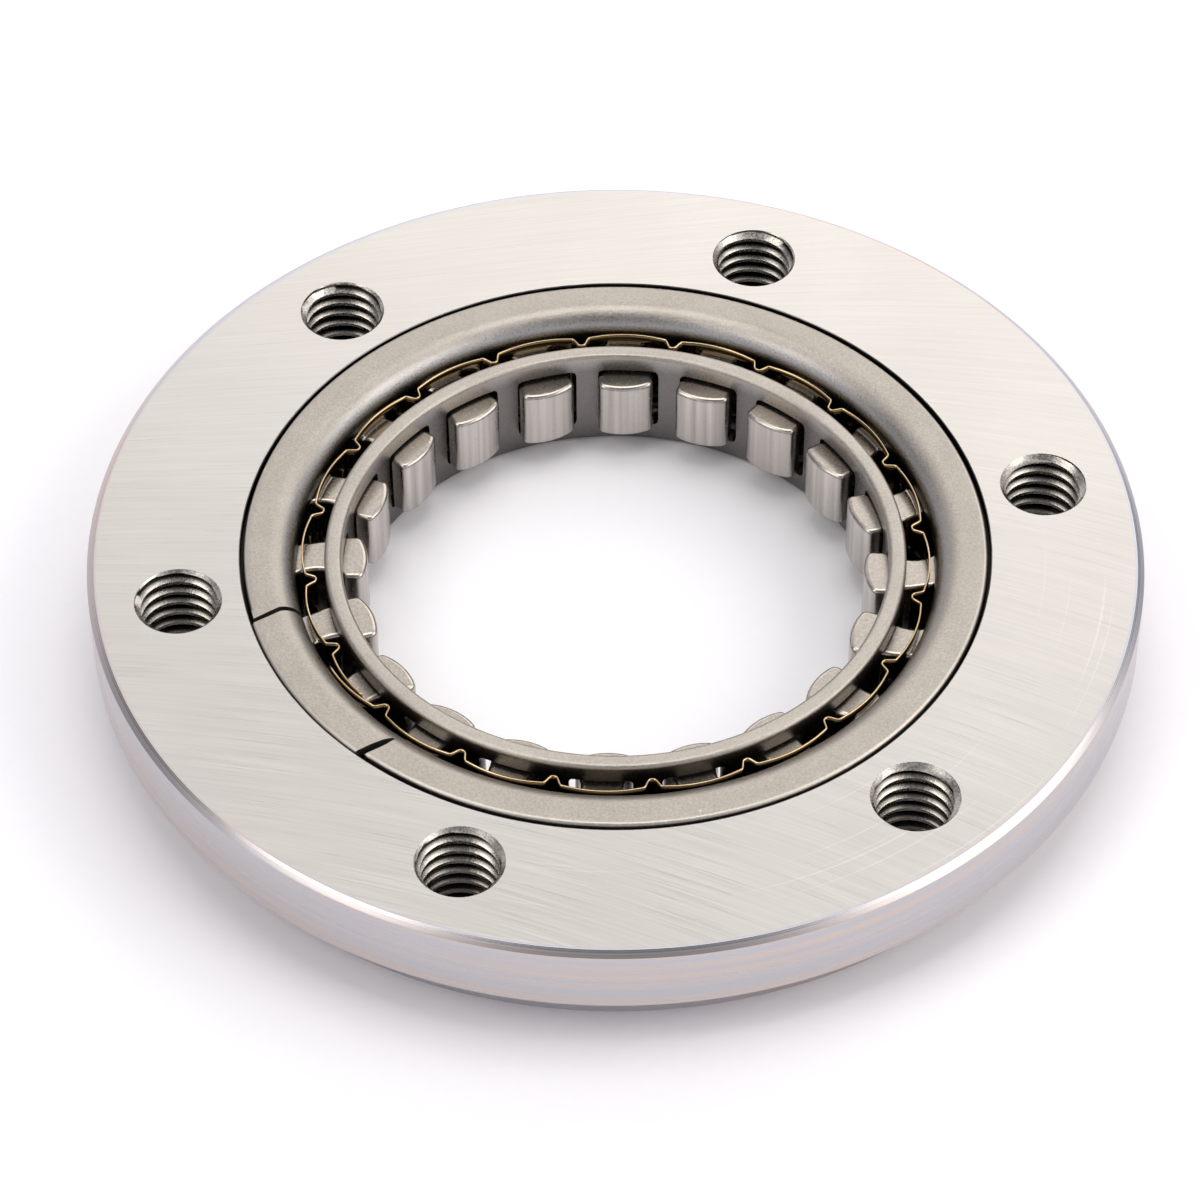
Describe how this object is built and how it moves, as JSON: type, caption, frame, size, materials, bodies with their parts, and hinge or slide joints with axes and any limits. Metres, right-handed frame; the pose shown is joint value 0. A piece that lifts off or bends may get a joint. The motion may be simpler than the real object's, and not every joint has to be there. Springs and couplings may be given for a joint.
{
  "type": "one-way starter clutch",
  "caption": "Flat round steel housing with tapped holes round its rim and a flanged two-cage sprag ring with a ribbon spring in its bore.",
  "frame": {"origin": "on the clutch axis, in the plane of the housing's lower face", "axes": "+Z along the clutch axis, from the register to the recessed face that shows the cage flange; +X through the first tapped hole"},
  "size_m": [0.09, 0.09, 0.0111],
  "materials": {
    "ground_steel": "surface-ground hardened steel",
    "cage_steel": "matt bead-blasted sheet steel",
    "inner_cage_steel": "matt bead-blasted sheet steel",
    "spring_steel": "heat-tinted spring strip",
    "sprag_steel": "tumble-polished hardened steel"
  },
  "bodies": {
    "housing": {"housing": "ground_steel"},
    "outer_cage": {"outer_cage": "cage_steel", "ribbon_spring": "spring_steel"},
    "inner_cage": {"inner_cage": "inner_cage_steel"},
    "sprag_01": {"sprag_01": "sprag_steel"},
    "sprag_02": {"sprag_02": "sprag_steel"},
    "sprag_03": {"sprag_03": "sprag_steel"},
    "sprag_04": {"sprag_04": "sprag_steel"},
    "sprag_05": {"sprag_05": "sprag_steel"},
    "sprag_06": {"sprag_06": "sprag_steel"},
    "sprag_07": {"sprag_07": "sprag_steel"},
    "sprag_08": {"sprag_08": "sprag_steel"},
    "sprag_09": {"sprag_09": "sprag_steel"},
    "sprag_10": {"sprag_10": "sprag_steel"},
    "sprag_11": {"sprag_11": "sprag_steel"},
    "sprag_12": {"sprag_12": "sprag_steel"},
    "sprag_13": {"sprag_13": "sprag_steel"},
    "sprag_14": {"sprag_14": "sprag_steel"},
    "sprag_15": {"sprag_15": "sprag_steel"},
    "sprag_16": {"sprag_16": "sprag_steel"},
    "sprag_17": {"sprag_17": "sprag_steel"},
    "sprag_18": {"sprag_18": "sprag_steel"},
    "sprag_19": {"sprag_19": "sprag_steel"},
    "sprag_20": {"sprag_20": "sprag_steel"}
  },
  "joints": [
    {"name": "cage_spin", "type": "hinge", "parent": "housing", "child": "outer_cage", "pos_m": [0, 0, 0.0095], "axis": [0, 0, 1], "continuous": true},
    {"name": "inner_cage_twist", "type": "hinge", "parent": "outer_cage", "child": "inner_cage", "pos_m": [0, 0, 0.0052], "axis": [0, 0, 1], "range_deg": [-1.84, 0], "stiffness_Nm_per_rad": 0.02, "springref_deg": 2.01},
    {"name": "sprag_01_tilt", "type": "hinge", "parent": "outer_cage", "child": "sprag_01", "pos_m": [0.02781, 0.00372, 0.00535], "axis": [0, 0, 1], "range_deg": [0, 12]},
    {"name": "sprag_02_tilt", "type": "hinge", "parent": "outer_cage", "child": "sprag_02", "pos_m": [0.0253, 0.01213, 0.00535], "axis": [0, 0, 1], "range_deg": [0, 12]},
    {"name": "sprag_03_tilt", "type": "hinge", "parent": "outer_cage", "child": "sprag_03", "pos_m": [0.02031, 0.01935, 0.00535], "axis": [0, 0, 1], "range_deg": [0, 12]},
    {"name": "sprag_04_tilt", "type": "hinge", "parent": "outer_cage", "child": "sprag_04", "pos_m": [0.01334, 0.02468, 0.00535], "axis": [0, 0, 1], "range_deg": [0, 12]},
    {"name": "sprag_05_tilt", "type": "hinge", "parent": "outer_cage", "child": "sprag_05", "pos_m": [0.00506, 0.0276, 0.00535], "axis": [0, 0, 1], "range_deg": [0, 12]},
    {"name": "sprag_06_tilt", "type": "hinge", "parent": "outer_cage", "child": "sprag_06", "pos_m": [-0.00372, 0.02781, 0.00535], "axis": [0, 0, 1], "range_deg": [0, 12]},
    {"name": "sprag_07_tilt", "type": "hinge", "parent": "outer_cage", "child": "sprag_07", "pos_m": [-0.01213, 0.0253, 0.00535], "axis": [0, 0, 1], "range_deg": [0, 12]},
    {"name": "sprag_08_tilt", "type": "hinge", "parent": "outer_cage", "child": "sprag_08", "pos_m": [-0.01935, 0.02031, 0.00535], "axis": [0, 0, 1], "range_deg": [0, 12]},
    {"name": "sprag_09_tilt", "type": "hinge", "parent": "outer_cage", "child": "sprag_09", "pos_m": [-0.02468, 0.01334, 0.00535], "axis": [0, 0, 1], "range_deg": [0, 12]},
    {"name": "sprag_10_tilt", "type": "hinge", "parent": "outer_cage", "child": "sprag_10", "pos_m": [-0.0276, 0.00506, 0.00535], "axis": [0, 0, 1], "range_deg": [0, 12]},
    {"name": "sprag_11_tilt", "type": "hinge", "parent": "outer_cage", "child": "sprag_11", "pos_m": [-0.02781, -0.00372, 0.00535], "axis": [0, 0, 1], "range_deg": [0, 12]},
    {"name": "sprag_12_tilt", "type": "hinge", "parent": "outer_cage", "child": "sprag_12", "pos_m": [-0.0253, -0.01213, 0.00535], "axis": [0, 0, 1], "range_deg": [0, 12]},
    {"name": "sprag_13_tilt", "type": "hinge", "parent": "outer_cage", "child": "sprag_13", "pos_m": [-0.02031, -0.01935, 0.00535], "axis": [0, 0, 1], "range_deg": [0, 12]},
    {"name": "sprag_14_tilt", "type": "hinge", "parent": "outer_cage", "child": "sprag_14", "pos_m": [-0.01334, -0.02468, 0.00535], "axis": [0, 0, 1], "range_deg": [0, 12]},
    {"name": "sprag_15_tilt", "type": "hinge", "parent": "outer_cage", "child": "sprag_15", "pos_m": [-0.00506, -0.0276, 0.00535], "axis": [0, 0, 1], "range_deg": [0, 12]},
    {"name": "sprag_16_tilt", "type": "hinge", "parent": "outer_cage", "child": "sprag_16", "pos_m": [0.00372, -0.02781, 0.00535], "axis": [0, 0, 1], "range_deg": [0, 12]},
    {"name": "sprag_17_tilt", "type": "hinge", "parent": "outer_cage", "child": "sprag_17", "pos_m": [0.01213, -0.0253, 0.00535], "axis": [0, 0, 1], "range_deg": [0, 12]},
    {"name": "sprag_18_tilt", "type": "hinge", "parent": "outer_cage", "child": "sprag_18", "pos_m": [0.01935, -0.02031, 0.00535], "axis": [0, 0, 1], "range_deg": [0, 12]},
    {"name": "sprag_19_tilt", "type": "hinge", "parent": "outer_cage", "child": "sprag_19", "pos_m": [0.02468, -0.01334, 0.00535], "axis": [0, 0, 1], "range_deg": [0, 12]},
    {"name": "sprag_20_tilt", "type": "hinge", "parent": "outer_cage", "child": "sprag_20", "pos_m": [0.0276, -0.00506, 0.00535], "axis": [0, 0, 1], "range_deg": [0, 12]}
  ],
  "couplings": [
    {"joint": "sprag_01_tilt", "follows": "inner_cage_twist", "ratio": -6.5},
    {"joint": "sprag_02_tilt", "follows": "inner_cage_twist", "ratio": -6.5},
    {"joint": "sprag_03_tilt", "follows": "inner_cage_twist", "ratio": -6.5},
    {"joint": "sprag_04_tilt", "follows": "inner_cage_twist", "ratio": -6.5},
    {"joint": "sprag_05_tilt", "follows": "inner_cage_twist", "ratio": -6.5},
    {"joint": "sprag_06_tilt", "follows": "inner_cage_twist", "ratio": -6.5},
    {"joint": "sprag_07_tilt", "follows": "inner_cage_twist", "ratio": -6.5},
    {"joint": "sprag_08_tilt", "follows": "inner_cage_twist", "ratio": -6.5},
    {"joint": "sprag_09_tilt", "follows": "inner_cage_twist", "ratio": -6.5},
    {"joint": "sprag_10_tilt", "follows": "inner_cage_twist", "ratio": -6.5},
    {"joint": "sprag_11_tilt", "follows": "inner_cage_twist", "ratio": -6.5},
    {"joint": "sprag_12_tilt", "follows": "inner_cage_twist", "ratio": -6.5},
    {"joint": "sprag_13_tilt", "follows": "inner_cage_twist", "ratio": -6.5},
    {"joint": "sprag_14_tilt", "follows": "inner_cage_twist", "ratio": -6.5},
    {"joint": "sprag_15_tilt", "follows": "inner_cage_twist", "ratio": -6.5},
    {"joint": "sprag_16_tilt", "follows": "inner_cage_twist", "ratio": -6.5},
    {"joint": "sprag_17_tilt", "follows": "inner_cage_twist", "ratio": -6.5},
    {"joint": "sprag_18_tilt", "follows": "inner_cage_twist", "ratio": -6.5},
    {"joint": "sprag_19_tilt", "follows": "inner_cage_twist", "ratio": -6.5},
    {"joint": "sprag_20_tilt", "follows": "inner_cage_twist", "ratio": -6.5}
  ]
}
